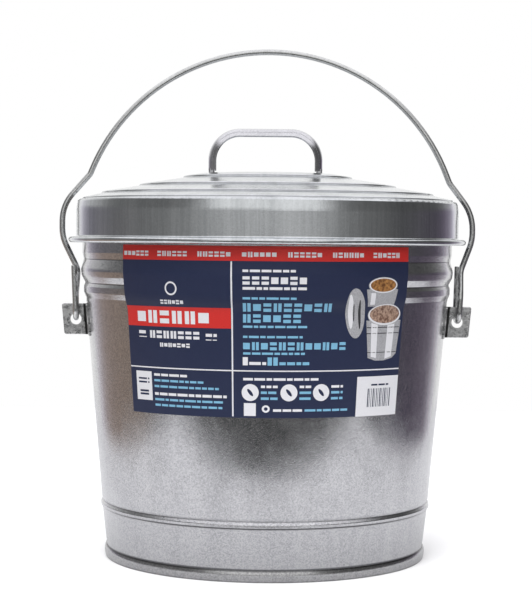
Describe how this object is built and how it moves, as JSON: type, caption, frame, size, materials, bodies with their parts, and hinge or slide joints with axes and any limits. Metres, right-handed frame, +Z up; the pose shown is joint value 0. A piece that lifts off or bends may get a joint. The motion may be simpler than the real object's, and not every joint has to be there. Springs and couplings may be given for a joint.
{
  "type": "galvanised steel can with locking bail and lid",
  "caption": "Tapered galvanised steel can with a rolled rim, a stepped close-fitting lid with a strap grip, and a swinging wire bail that arches over the lid and holds it shut.",
  "frame": {"origin": "on the floor, at the centre of the foot hoop, on the can's vertical axis", "axes": "+Z up along the can's axis; the label faces -Y; the bail's swing axis is along X and its arch stands in the XZ plane at rest"},
  "size_m": [0.3696, 0.3512, 0.4479],
  "materials": {
    "galvanised_wall": "bright hot-dip galvanised sheet with a fine spangle, half gloss",
    "galvanised_lid": "bright galvanised sheet, drawn, with fine streaks round the band",
    "galvanised_wire": "dull galvanised round wire",
    "galvanised_ear": "dull galvanised pressed sheet",
    "galvanised_grip": "half-bright galvanised strap",
    "printed_label": "coated printed paper, half gloss"
  },
  "bodies": {
    "can": {"body_wall": "galvanised_wall", "rim_wire": "galvanised_wire", "wall_seam": "galvanised_wall", "bottom_pan": "galvanised_wall", "foot_hoop": "galvanised_wall", "ear_left": "galvanised_ear", "ear_right": "galvanised_ear", "label_sheet": "printed_label"},
    "lid": {"lid_pan": "galvanised_lid", "lid_rim_wire": "galvanised_wire", "lid_handle": "galvanised_grip"},
    "bail": {"bail_wire": "galvanised_wire"}
  },
  "joints": [
    {"name": "bail_swing", "type": "hinge", "parent": "can", "child": "bail", "pos_m": [0, 0, 0.217], "axis": [1, 0, 0], "range_deg": [-115, 115]},
    {"name": "lid_turn", "type": "hinge", "parent": "can", "child": "lid", "pos_m": [0, 0, 0.3136], "axis": [0, 0, 1], "continuous": true}
  ]
}
